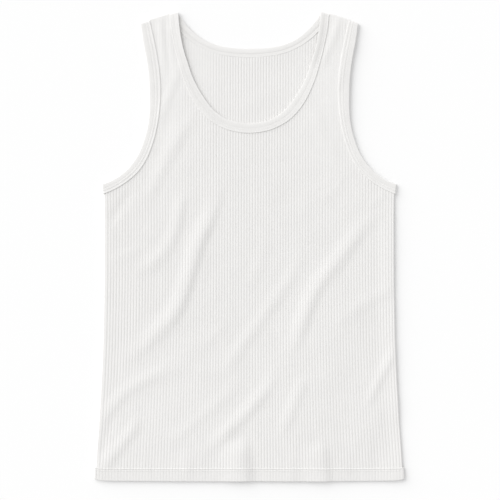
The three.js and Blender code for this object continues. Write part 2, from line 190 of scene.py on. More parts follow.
# Smaller creases of the front: straps, chest, side edges and hem
SMALL_CREASES = (
    Crease(((-6, -196), (-50, -236), (-98, -276), (-128, -300)), 0.5, 13, 0.1),
    Crease(((-134, 350), (-131, 308), (-127, 262)), 0.7, 9),
    Crease(((-119, 352), (-118, 308), (-111, 262)), 0.5, 8),
    Crease(((-102, 280), (-112, 250), (-126, 214), (-140, 176)), 0.7, 12, 0.1),
    Crease(((-80, 206), (-100, 168), (-116, 132)), 0.4, 12),
    Crease(((136, 350), (128, 318), (116, 290), (106, 262)), 0.8, 10, 0.2),
    Crease(((143, 300), (138, 260), (130, 226)), 0.4, 8),
    Crease(((104, 356), (103, 328), (98, 298), (88, 266)), 1.5, 17, 0.2),
    Crease(((132, 372), (130, 300), (128, 236), (140, 160)), 1.0, 60),
    Crease(((222, 140), (218, 50), (217, -60), (223, -180), (231, -290), (236, -380)), 1.3, 30),
    Crease(((150, -20), (124, -120), (90, -230), (60, -400)), 1.4, 105, 0.25),
    Crease(((88, 204), (112, 168), (136, 124)), 0.5, 11),
    Crease(((142, 100), (126, 82), (104, 66)), 0.4, 9),
    Crease(((-172, 90), (-193, 60), (-214, 34)), -0.7, 12),
    Crease(((-210, -22), (-186, -12), (-160, -2)), 0.5, 10),
    Crease(((206, 84), (192, 70), (176, 62)), 0.4, 9),
    Crease(((-6, -180), (-60, -188), (-100, -182), (-134, -166)), 0.35, 9),
    Crease(((30, 20), (12, -30), (-14, -78)), 0.3, 16),
    Crease(((-30, -110), (-60, -140), (-78, -150)), 0.3, 12),
    Crease(((103, -292), (110, -330), (113, -384)), 1.8, 34, 0.5),
    Crease(((240, -244), (200, -304), (160, -362)), -1.1, 42),
    Crease(((-200, -250), (-216, -288), (-232, -330)), -0.5, 12),
    Crease(((64, -312), (62, -334), (60, -358)), 0.3, 12),
    Crease(((-92, -306), (-96, -334), (-98, -358)), 0.4, 18),
    Crease(((176, -296), (178, -330), (180, -358)), 0.4, 18),
)
# Soft hollows on the hidden side, of the same kind as the folds above it
BACK_HOLLOWS = (
    Crease(((130, 96), (60, -30), (-30, -150)), 0.75, 24),
    Crease(((-60, 40), (-120, -70), (-196, -150)), 0.7, 22),
    Crease(((196, -60), (150, -150), (80, -250)), 0.7, 22),
    Crease(((-20, -190), (-70, -240), (-140, -300)), 0.6, 18),
    Crease(((-150, 120), (-120, 60), (-110, -10)), 0.5, 18),
    Crease(((60, 250), (20, 225), (-30, 205)), 0.3, 16),
    Crease(((-104, 346), (-80, 312), (-42, 294), (0, 288), (42, 294), (80, 312), (104, 346)), 0.5, 28),
)


@dataclass(frozen=True)
class SoftPatch:
    """A part of the front where the cloth is stretched and its ribs are fainter."""

    middle: tuple[float, float]
    reach: tuple[float, float]
    fade: float


SOFT_PATCHES = (
    SoftPatch((-128, 250), (42, 150), 0.85),
    SoftPatch((126, 250), (46, 150), 0.8),
    SoftPatch((-140, -240), (90, 100), 0.3),
    SoftPatch((150, -230), (60, 90), 0.25),
)
BACK_SOFT_PATCHES = (SoftPatch((-84, 262), (40, 80), 0.75), SoftPatch((86, 270), (34, 60), 0.4))


@dataclass(frozen=True)
class Perk:
    """A place where a band's free edge stands up a little, with how far that reaches along it."""

    place: tuple[float, float]
    reach: float
    height: float


# The neck's free edge stands up at the left shoulder, and the right armhole's all the way down its strap
NECK_PERKS = (Perk((-104, 338), 46, 1.9), Perk((-92, 284), 50, 0.6))
ARMHOLE_PERKS = (Perk((158, 300), 80, 0.6), Perk((152, 200), 50, 0.2))


def spline(points: np.ndarray, t: np.ndarray) -> np.ndarray:
    """A smooth curve through points, at places along it.

    Args:
        points: The points to pass through, one a row.
        t: Where to read the curve, 0 at the first point and one more at each next one.

    Returns:
        One row for each place.
    """
    last = len(points) - 1
    k = np.clip(t.astype(int), 0, last - 1)
    w = (t - k)[:, None]
    before, here, there = points[np.maximum(k - 1, 0)], points[k], points[k + 1]
    after = points[np.minimum(k + 2, last)]
    leaving, arriving = (there - before) / 2, (after - here) / 2
    cubic = 2 * here - 2 * there + leaving + arriving
    square = -3 * here + 3 * there - 2 * leaving - arriving
    return cubic * w**3 + square * w**2 + leaving * w + here


def lengths_along(points: np.ndarray) -> np.ndarray:
    """The distance walked at each point of a line, 0 at its first."""
    steps = np.linalg.norm(np.diff(points, axis=0), axis=1)
    return np.concatenate([[0.0], np.cumsum(steps)])


def stations(rows: Sequence[Sequence[float]], spacing: float) -> np.ndarray:
    """Evenly spaced pairs of points along a band.

    Args:
        rows: Free edge x and y, and seam x and y.
        spacing: About how far apart the pairs are.

    Returns:
        One row for each pair, in the columns of the table.
    """
    table = np.array(rows, float)
    fine = np.linspace(0, len(table) - 1, 40 * len(table))
    curve = spline(table, fine)
    walked = lengths_along((curve[:, :2] + curve[:, 2:]) / 2)
    count = max(2, round(walked[-1] / spacing))
    return spline(table, np.interp(np.linspace(0, walked[-1], count + 1), walked, fine))


def mirrored(rows: Sequence[Sequence[float]]) -> list[list[float]]:
    """The rows of a band from one side to the middle, carried on to the other side."""
    flip = (-1, 1, -1, 1)
    left = [[a * b for a, b in zip(row, flip)] for row in reversed(rows[:-1])]
    return [list(row) for row in rows] + left


def half_width(y: np.ndarray) -> np.ndarray:
    """Half the width of the panels at y."""
    up = np.array(SIDE[::-1])
    return np.interp(y, up[:, 0], up[:, 1])


def rib_relief(across: np.ndarray) -> np.ndarray:
    """1 on a rib's crest and 0 in a groove, at a distance across the unspread cloth."""
    phase = np.mod(across / RIB_PITCH - RIB_OFFSET, 1.0)
    return np.interp(phase, RIB_PARTS, RIB_HEIGHTS)


def rib_strength(x: np.ndarray, y: np.ndarray, patches: Sequence[SoftPatch]) -> np.ndarray:
    """How strongly the ribs stand out at a place, from 0 to 1."""
    strength = np.ones_like(x)
    for patch in patches:
        away = np.hypot((x - patch.middle[0]) / patch.reach[0], (y - patch.middle[1]) / patch.reach[1])
        strength = strength * (1 - patch.fade * np.exp(-(away**2)))
    return strength


def spread(across: np.ndarray, y: np.ndarray) -> np.ndarray:
    """Where the cloth lies in x: its ribs are a little closer in the middle and widen towards the hem."""
    drawn_in = across - RIB_DRIFT * np.sin(math.pi * across / MID_HALF_WIDTH)
    return drawn_in * half_width(y) / MID_HALF_WIDTH


def unspread(x: np.ndarray, y: np.ndarray) -> np.ndarray:
    """How far across the unspread cloth a place is."""
    drawn_in = x * MID_HALF_WIDTH / half_width(y)
    return drawn_in + RIB_DRIFT * np.sin(math.pi * drawn_in / MID_HALF_WIDTH)


@dataclass
class Lay:
    """How a layer of cloth lies: its folds and creases, and the small unevenness between them."""

    creases: Sequence[Crease]
    ripple: float
    seed: int
    spine_steps: int = 16
    end_taper: float = 0.3
    waves: int = 26
    shortest_wave: float = 16.0
    longest_wave: float = 75.0

    def height(self, x: np.ndarray, y: np.ndarray) -> np.ndarray:
        """How far the cloth rises above its flat level.

        Args:
            x: Places across, of any shape.
            y: Places up, of the same shape.

        Returns:
            Heights of that shape.
        """
        px, py = np.ravel(x), np.ravel(y)
        total = self.unevenness(px, py)
        for crease in self.creases:
            total += self.ridge(crease, px, py)
        return total.reshape(np.shape(x))

    def ridge(self, crease: Crease, x: np.ndarray, y: np.ndarray) -> np.ndarray:
        """The height of one crease at flat lists of places."""
        steps = np.linspace(0, len(crease.path) - 1, self.spine_steps + 1)
        spine = spline(np.array(crease.path, float), steps)
        low, high = spine.min(0) - crease.reach, spine.max(0) + crease.reach
        near = np.flatnonzero((x > low[0]) & (x < high[0]) & (y > low[1]) & (y < high[1]))
        place = np.stack([x[near], y[near]], 1)
        nearest = np.full(len(near), np.inf)
        along = np.zeros(len(near))
        side = np.zeros(len(near))
        for k, (a, b) in enumerate(zip(spine[:-1], spine[1:])):
            run = b - a
            t = np.clip((place - a) @ run / (run @ run), 0, 1)
            away = place - a - t[:, None] * run
            distance = np.hypot(away[:, 0], away[:, 1])
            closer = distance < nearest
            nearest = np.where(closer, distance, nearest)
            along = np.where(closer, (k + t) / self.spine_steps, along)
            side = np.where(closer, np.sign(run[0] * away[:, 1] - run[1] * away[:, 0]), side)
        reach = crease.reach * np.where(side > 0, 1 - crease.steep, 1.0)
        end = np.clip(np.minimum(along, 1 - along) / self.end_taper, 0, 1)
        taper = end * end * (3 - 2 * end)
        shape = np.where(nearest < reach, 0.5 + 0.5 * np.cos(math.pi * nearest / reach), 0.0)
        result = np.zeros(len(x))
        result[near] = crease.height * taper * shape
        return result

    def unevenness(self, x: np.ndarray, y: np.ndarray) -> np.ndarray:
        """Low, soft waves in every direction, the same on each run."""
        draw = np.random.default_rng(self.seed)
        total = np.zeros(len(x))
        for _ in range(self.waves):
            length = math.exp(draw.uniform(math.log(self.shortest_wave), math.log(self.longest_wave)))
            turn, phase = draw.uniform(0, math.tau, 2)
            walk = x * math.cos(turn) + y * math.sin(turn)
            total += length / self.longest_wave * np.sin(math.tau * walk / length + phase)
        return self.ripple * total / math.sqrt(self.waves)


class NodeBench:
    """Adds nodes to one node tree and joins them up."""

    def __init__(self, tree: bpy.types.NodeTree) -> None:
        """Starts on a tree, which keeps the nodes that it has."""
        self.tree = tree

    def add(self, kind: str, **settings: object) -> bpy.types.Node:
        """A new node of that kind, with its own settings."""
        node = self.tree.nodes.new(kind)
        for name, value in settings.items():
            setattr(node, name, value)
        return node

    def feed(self, value: object, socket: bpy.types.NodeSocket) -> None:
        """Joins another socket to this one, or sets a plain value on it."""
        if isinstance(value, bpy.types.NodeSocket):
            self.tree.links.new(value, socket)
        else:
            socket.default_value = value

    def math(self, operation: str, *values: object, clamp: bool = False) -> bpy.types.NodeSocket:
        """The result of a Math node on up to three values or sockets."""
        node = self.add("ShaderNodeMath", operation=operation, use_clamp=clamp)
        for value, socket in zip(values, node.inputs):
            self.feed(value, socket)
        return node.outputs[0]

    def noise(self, place: object, scale: float, detail: float) -> bpy.types.NodeSocket:
        """Smooth noise from 0 to 1 at a place, with scale waves a metre."""
        node = self.add("ShaderNodeTexNoise")
        for name, value in (("Vector", place), ("Scale", scale), ("Detail", detail), ("Roughness", 0.6)):
            self.feed(value, node.inputs[name])
        return node.outputs[0]

    def bump(self, height: object, strength: float, depth: float) -> bpy.types.Node:
        """A node that turns a height into normals, for a relief that is depth metres deep."""
        node = self.add("ShaderNodeBump")
        for name, value in (("Height", height), ("Strength", strength), ("Distance", depth)):
            self.feed(value, node.inputs[name])
        return node

    def scaled(self, colour: object, amount: object) -> bpy.types.NodeSocket:
        """A colour made lighter or darker by an amount."""
        node = self.add("ShaderNodeVectorMath", operation="SCALE")
        self.feed(colour, node.inputs[0])
        self.feed(amount, node.inputs["Scale"])
        return node.outputs[0]

    def group(self, tree: bpy.types.NodeTree, **values: object) -> bpy.types.Node:
        """A node that uses a group, with its inputs fed by name."""
        node = self.add("ShaderNodeGroup", node_tree=tree)
        for name, value in values.items():
            self.feed(value, node.inputs[name])
        return node


def new_group(name: str, inputs: Iterable[tuple[str, str]], outputs: Iterable[str]) -> bpy.types.NodeTree:
    """An empty shader node group.

    Args:
        name: The group's name.
        inputs: The name and the socket type of each input.
        outputs: The names of its outputs, each a number.

    Returns:
        The group, with its sockets made.
    """
    tree = bpy.data.node_groups.new(name, "ShaderNodeTree")
    for label, kind in inputs:
        tree.interface.new_socket(label, in_out="INPUT", socket_type=kind)
    for label in outputs:
        tree.interface.new_socket(label, in_out="OUTPUT", socket_type="NodeSocketFloat")
    return tree


def new_material(name: str) -> tuple[bpy.types.Material, NodeBench, bpy.types.Node]:
    """A new material, a bench for its nodes, and its main shader."""
    material = bpy.data.materials.new(name)
    material.use_nodes = True
    return material, NodeBench(material.node_tree), material.node_tree.nodes["Principled BSDF"]


def knit_loops_group() -> bpy.types.NodeTree:
    """Columns of V-shaped knit loops on a map in metres, as a height and as the gaps between the yarns,
    which the finishes paint as shade.
    """
    tree = new_group(
        "Knit loops",
        (("Place", "NodeSocketVector"), ("Wale", "NodeSocketFloat"), ("Course", "NodeSocketFloat")),
        ("Height", "Gap"),
    )
    bench = NodeBench(tree)
    start, end = bench.add("NodeGroupInput"), bench.add("NodeGroupOutput")
    split = bench.add("ShaderNodeSeparateXYZ")
    bench.feed(start.outputs["Place"], split.inputs[0])
    column = bench.math("DIVIDE", split.outputs[0], start.outputs["Wale"])
    from_middle = bench.math("ABSOLUTE", bench.math("SUBTRACT", bench.math("FRACT", column), 0.5))
    row = bench.math("DIVIDE", split.outputs[1], start.outputs["Course"])
    slanted = bench.math("MULTIPLY_ADD", from_middle, LOOP_SLANT, row)
    wave = bench.math("COSINE", bench.math("MULTIPLY", slanted, math.tau))
    yarn = bench.math("MULTIPLY_ADD", wave, 0.5, 0.5)
    slope = bench.math("MULTIPLY_ADD", from_middle, FURROW_SLOPE, -FURROW_START)
    edge = bench.math("SMOOTH_MAX", 0.0, slope, FURROW_SOFTNESS)
    furrow = bench.math("MINIMUM", edge, 1.0)
    seat = bench.math("SUBTRACT", 1.0, furrow)
    swell = bench.math("MULTIPLY_ADD", yarn, YARN_SWELL, 1 - YARN_SWELL)
    bench.feed(bench.math("MULTIPLY", swell, seat), end.inputs["Height"])
    bench.feed(bench.math("MAXIMUM", furrow, bench.math("SUBTRACT", YARN_GAP, yarn)), end.inputs["Gap"])
    return tree


def cotton_group() -> bpy.types.NodeTree:
    """Cotton's own unevenness at a place in metres: a faint mottle, and a fuzz of short fibres."""
    tree = new_group(
        "Cotton",
        (("Place", "NodeSocketVector"), ("Patches", "NodeSocketFloat")),
        ("Mottle", "Fuzz"),
    )
    bench = NodeBench(tree)
    start, end = bench.add("NodeGroupInput"), bench.add("NodeGroupOutput")
    place = start.outputs["Place"]
    broad = bench.noise(place, BROAD_MOTTLE, 2.0)
    fine = bench.noise(place, FINE_MOTTLE, 3.0)
    both = bench.math("MULTIPLY_ADD", broad, 0.5, bench.math("MULTIPLY", fine, 0.5))
    centred = bench.math("SUBTRACT", both, 0.5)
    bench.feed(bench.math("MULTIPLY_ADD", centred, start.outputs["Patches"], 1.0), end.inputs["Mottle"])
    bench.feed(bench.noise(place, FIBRES, 4.0), end.inputs["Fuzz"])
    return tree


@dataclass(frozen=True)
class KnitFinish:
    """The finish of one knit: its white, the colour of the painted shade in its grooves and between its
    yarns, and the size of its loops in metres.
    """

    name: str
    white: tuple[float, float, float]
    groove: tuple[float, float, float]
    wale: float
    course: float
    loop_depth: float
    fuzz_depth: float = 0.00006
    patches: float = 0.05
    sheen: float = 0.12

    def material(self, loops: bpy.types.NodeTree, cotton: bpy.types.NodeTree) -> bpy.types.Material:
        """Builds the material.

        Args:
            loops: The group that draws knit loops.
            cotton: The group that draws mottle and fuzz.

        Returns:
            The finished material.
        """
        material, bench, shader = new_material(self.name)
        knit_map = bench.add("ShaderNodeUVMap", uv_map=KNIT_MAP).outputs[0]
        place = bench.add("ShaderNodeTexCoord").outputs["Object"]
        relief = bench.add("ShaderNodeAttribute", attribute_name=RELIEF).outputs["Fac"]
        knit = bench.group(loops, Place=knit_map, Wale=self.wale, Course=self.course)
        fibre = bench.group(cotton, Place=place, Patches=self.patches)
        # Painted shade: rib grooves, the bands' sunk parts and the gaps between yarns are mixed towards the
        # darker groove colour
        gaps = bench.math("MULTIPLY", knit.outputs["Gap"], GAP_SHADE)
        painted_lit_share = bench.math("SUBTRACT", relief, gaps, clamp=True)
        mix = bench.add("ShaderNodeMix", data_type="RGBA")
        bench.feed(painted_lit_share, mix.inputs["Factor"])
        bench.feed((*self.groove, 1.0), mix.inputs["A"])
        bench.feed((*self.white, 1.0), mix.inputs["B"])
        tint = bench.scaled(mix.outputs["Result"], fibre.outputs["Mottle"])
        bench.feed(tint, shader.inputs["Base Color"])
        fuzz = bench.bump(fibre.outputs["Fuzz"], 0.25, self.fuzz_depth)
        weave = bench.bump(knit.outputs["Height"], 0.5, self.loop_depth)
        bench.feed(fuzz.outputs[0], weave.inputs["Normal"])
        bench.feed(weave.outputs[0], shader.inputs["Normal"])
        shader.inputs["Roughness"].default_value = 0.92
        shader.inputs["Specular IOR Level"].default_value = 0.18
        shader.inputs["Sheen Weight"].default_value = self.sheen
        shader.inputs["Sheen Roughness"].default_value = 0.45
        return material


@dataclass(frozen=True)
class ThreadFinish:
    """The finish of the sewing thread: a white with a slight twist along it."""

    name: str
    white: tuple[float, float, float]
    twists: float = 3400.0
    twist_depth: float = 0.00005
    patches: float = 0.08

    def material(self, cotton: bpy.types.NodeTree) -> bpy.types.Material:
        """Builds the material from the group that draws mottle and fuzz."""
        material, bench, shader = new_material(self.name)
        place = bench.add("ShaderNodeTexCoord").outputs["Object"]
        fibre = bench.group(cotton, Place=place, Patches=self.patches)
        tint = bench.scaled(self.white, fibre.outputs["Mottle"])
        bench.feed(tint, shader.inputs["Base Color"])
        twist = bench.add("ShaderNodeTexWave", wave_type="BANDS", bands_direction="DIAGONAL")
        bench.feed(place, twist.inputs["Vector"])
        bench.feed(self.twists, twist.inputs["Scale"])
        bump = bench.bump(twist.outputs[1], 0.3, self.twist_depth)
        bench.feed(bump.outputs[0], shader.inputs["Normal"])
        shader.inputs["Roughness"].default_value = 0.7
        shader.inputs["Specular IOR Level"].default_value = 0.3
        return material


def cloth_object(
    name: str,
    places: np.ndarray,
    knit: np.ndarray,
    relief: np.ndarray,
    keep: np.ndarray | None = None,
    closed: bool = False,
    faces_down: bool = False,
) -> bpy.types.Object:
    """A mesh made from a grid whose points are moved into place.

    Args:
        name: The piece's name.
        places: Where each point goes, in millimetres, as rows by columns by 3.
        knit: Where each point lies on the flat cloth, in millimetres, as rows by columns by 2.
        relief: 1 where the cloth is open and 0 in a groove, as rows by columns; the finishes paint it as
            shade, darkest at 0.
        keep: Which cells of the grid are cloth, as rows - 1 by columns - 1, or None for all.
        closed: Whether the grid closes on itself both ways, so that its faces are turned outwards.
        faces_down: Whether the cloth's outer side faces the surface that it lies on.

    Returns:
        The new object, linked to the scene.
    """
    rows, columns = relief.shape
    cloth = bmesh.new()
    knit_layer = cloth.loops.layers.uv.new(KNIT_MAP)
    relief_layer = cloth.verts.layers.float.new(RELIEF)
    bmesh.ops.create_grid(cloth, x_segments=columns - 1, y_segments=rows - 1, size=0.5)
    cells = []
    for vert in cloth.verts:
        cell = (round((vert.co.y + 0.5) * (rows - 1)), round((vert.co.x + 0.5) * (columns - 1)))
        cells.append(cell)
        vert.co = places[cell] * MM
        vert[relief_layer] = relief[cell]
    cloth.verts.index_update()
    unwanted = []
    for face in cloth.faces:
        face.smooth = True
        corners = [cells[vert.index] for vert in face.verts]
        for loop, corner in zip(face.loops, corners):
            loop[knit_layer].uv = knit[corner] * MM
        if keep is not None and not keep[min(c[0] for c in corners), min(c[1] for c in corners)]:
            unwanted.append(face)
    bmesh.ops.delete(cloth, geom=unwanted, context="FACES")
    bmesh.ops.remove_doubles(cloth, verts=cloth.verts, dist=0.01 * MM)
    for edge in cloth.edges:
        edge.smooth = not edge.is_boundary
    if closed:
        bmesh.ops.recalc_face_normals(cloth, faces=cloth.faces)
    if faces_down:
        bmesh.ops.reverse_faces(cloth, faces=cloth.faces)
    return linked(name, cloth)


def linked(name: str, shape: bmesh.types.BMesh) -> bpy.types.Object:
    """The object of a finished bmesh, which is freed."""
    mesh = bpy.data.meshes.new(name)
    shape.to_mesh(mesh)
    shape.free()
    piece = bpy.data.objects.new(name, mesh)
    bpy.context.scene.collection.objects.link(piece)
    return piece


class Layer(Enum):
    """Which of the two panels a piece of cloth is."""

    FRONT = "front"
    BACK = "back"


@dataclass
class Panel:
    """A front or back panel: a thin shell of rib knit, cut to the side seams, armholes, neck and hem."""

    name: str
    layer: Layer
    neck_rows: Sequence[Sequence[float]]
    lay: Lay
    level: float
    rib_height: float
    soft_patches: Sequence[SoftPatch]
    sheet_area: float
    thickness: float = 0.9
    under_binding: float = 0.08
    under_hem: float = 0.02
    lower_rows: int = 62
    upper_parts: Sequence[float] = (
        0.0, 0.09, 0.18, 0.27, 0.36, 0.45, 0.54, 0.63, 0.72, 0.8, 0.87, 0.93, 0.965, 0.985, 0.995, 1.0
    )
    split_gap: float = 3.5
    edge_roll: float = 1.2
    edge_drop: float = 0.7
    pressed_edge: float = 9.0
    rise: float = 0.5
    rise_from: float = 120.0
    rise_over: float = 60.0
    over_shoulder: float = 4.6
    fold_foot: float = 0.9
    edge_step: float = 0.3
    curve_points: int = 400
    sheet_size: tuple[float, float] = (0.46, 0.679)

    def boundary(self, rows: Sequence[Sequence[float]]) -> np.ndarray:
        """The panel's edge along a band, which reaches a little under the band."""
        table = spline(np.array(rows, float), np.linspace(0, len(rows) - 1, self.curve_points))
        under = self.under_hem if rows is HEM else self.under_binding
        return table[:, 2:] + under * (table[:, :2] - table[:, 2:])

    def shoulder(self) -> tuple[np.ndarray, np.ndarray]:
        """The neck end and the armhole end of the fold at the top of a strap, a little past the seams."""
        inner, outer = self.boundary(self.neck_rows)[0], self.boundary(ARMHOLE)[0]
        run = (outer - inner) / np.linalg.norm(outer - inner)
        past = self.over_shoulder * np.array([-run[1], run[0]])
        return inner + past, outer + past

    def across(self) -> np.ndarray:
        """Where the columns of points stand across the unspread cloth: on every rib, and both edges."""
        first = -RIB_COUNT // 2 - 2
        ribs = np.arange(first, -first + 1)[:, None] + np.array(RIB_PARTS[:-1])[None, :] + RIB_OFFSET
        columns = np.ravel(ribs) * RIB_PITCH
        inside = columns[np.abs(columns) < MID_HALF_WIDTH - 2 * self.edge_step]
        edge = np.array([MID_HALF_WIDTH - self.edge_step, MID_HALF_WIDTH, MID_HALF_WIDTH])
        return np.concatenate([-edge[::-1], inside, edge])

    def cut(self) -> tuple[np.ndarray, np.ndarray, np.ndarray]:
        """Cuts the cloth out.

        Returns:
            The x and the y of each point, as rows by columns, and which cells between them are cloth.
        """
        across = self.across()
        x = spread(across, np.array(SIDE[0][0]))
        side = np.abs(x)
        armhole, neck, hem = (self.boundary(rows) for rows in (ARMHOLE, self.neck_rows, HEM))
        inmost = int(np.argmin(armhole[:, 0]))
        inmost_x, inmost_y = armhole[inmost]
        shoulder_in, shoulder_out = self.shoulder()
        lower = np.interp(side, armhole[inmost:, 0], armhole[inmost:, 1])
        upper = np.interp(side, armhole[inmost::-1, 0], armhole[inmost::-1, 1])
        bottom = np.interp(side * half_width(np.array(SIDE[-1][0])) / half_width(np.array(SIDE[0][0])),
                           hem[::-1, 0], hem[::-1, 1])
        neck_top = np.interp(side, neck[::-1, 0], neck[::-1, 1])
        strap_x, strap_y = zip(shoulder_in, shoulder_out)
        strap_top = np.interp(side, strap_x, strap_y)
        top = np.where(side < shoulder_in[0], neck_top, strap_top)
        share = (inmost_y - bottom) / (np.interp(inmost_x, strap_x, strap_y) - bottom)
        split = bottom + share * (top - bottom)
        whole = side <= inmost_x
        outer = side > shoulder_out[0]
        lower_end = np.where(whole, split - self.split_gap, lower)
        upper_start = np.where(whole, split + self.split_gap, np.where(outer, shoulder_out[1], upper))
        top = np.where(outer, shoulder_out[1], top)
        lower_part = np.linspace(0, 1, self.lower_rows)[:, None]
        upper_part = np.array(self.upper_parts)[:, None]
        y = np.concatenate([
            bottom + lower_part * (lower_end - bottom),
            upper_start + upper_part * (top - upper_start),
            top[None, :],
        ])
        is_upper = np.arange(len(y))[:, None] >= self.lower_rows
        x = np.where(is_upper & outer, np.sign(across) * shoulder_out[0], spread(across, y))
        keep = np.ones((len(y) - 1, len(across) - 1), bool)
        keep[self.lower_rows - 1] = whole[:-1] | whole[1:]
        keep[self.lower_rows:, outer[:-1] & outer[1:]] = False
        in_strap = (side > shoulder_in[0]) & ~outer
        keep[-1] = in_strap[:-1] & in_strap[1:]
        return x, y, keep

    def edge_distance(self, x: np.ndarray, y: np.ndarray) -> np.ndarray:
        """How far a place is from the nearest side edge or shoulder fold."""
        side = half_width(y) - np.abs(x)
        inner, outer = self.shoulder()
        run = (outer - inner) / np.linalg.norm(outer - inner)
        shoulder = run[0] * (inner[1] - y) - run[1] * (inner[0] - np.abs(x))
        return np.clip(np.where(y > SIDE[0][0], shoulder, side), 0, None)

    def build(self) -> bpy.types.Object:
        """Builds the panel as a thin shell with its ribs, folds and rolled edges."""
        x, y, keep = self.cut()
        across = np.broadcast_to(self.across(), x.shape)
        # relief is the ribs' height here, and the finish paints the same map as shade in their grooves
        relief = rib_relief(across)
        to_edge = self.edge_distance(x, y)
        pressed = np.where(y > SIDE[0][0], np.clip(to_edge / self.pressed_edge, 0, 1), 1.0)
        relief = 1 - (1 - relief) * rib_strength(x, y, self.soft_patches) * pressed
        near_edge = 1 - np.clip(to_edge / self.edge_roll, 0, 1)
        roll = self.edge_drop * (1 - np.sqrt(1 - near_edge**2))
        lift = self.lay.height(x, y)
        ribbed = self.level + self.rib_height * relief
        if self.layer is Layer.FRONT:
            z = ribbed + lift - roll
            z[:, [0, -1]] = self.fold_foot
            z[-1] = self.fold_foot
        else:
            rise = np.clip((y - self.rise_from) / self.rise_over, 0, 1)
            z = ribbed + np.maximum(lift, 0) + self.rise * rise * rise * (3 - 2 * rise)
        knit = np.stack([across, y], -1)
        piece = cloth_object(self.name, np.stack([x, y, z], -1), knit, relief, keep,
                             faces_down=self.layer is Layer.BACK)
        shell = piece.modifiers.new("cloth", "SOLIDIFY")
        shell.thickness = self.thickness * MM
        shell.offset = -1.0
        return piece

    def dress(self, piece: bpy.types.Object, finish: bpy.types.Material) -> None:
        """Gives the panel its finish, hangs it on the body and hides its part of the model."""
        piece.data.materials.append(finish)
        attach(piece, BODY)
        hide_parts(self.name.replace("_cloth", ""))
        log.info("%s: %d points", piece.name, len(piece.data.vertices))


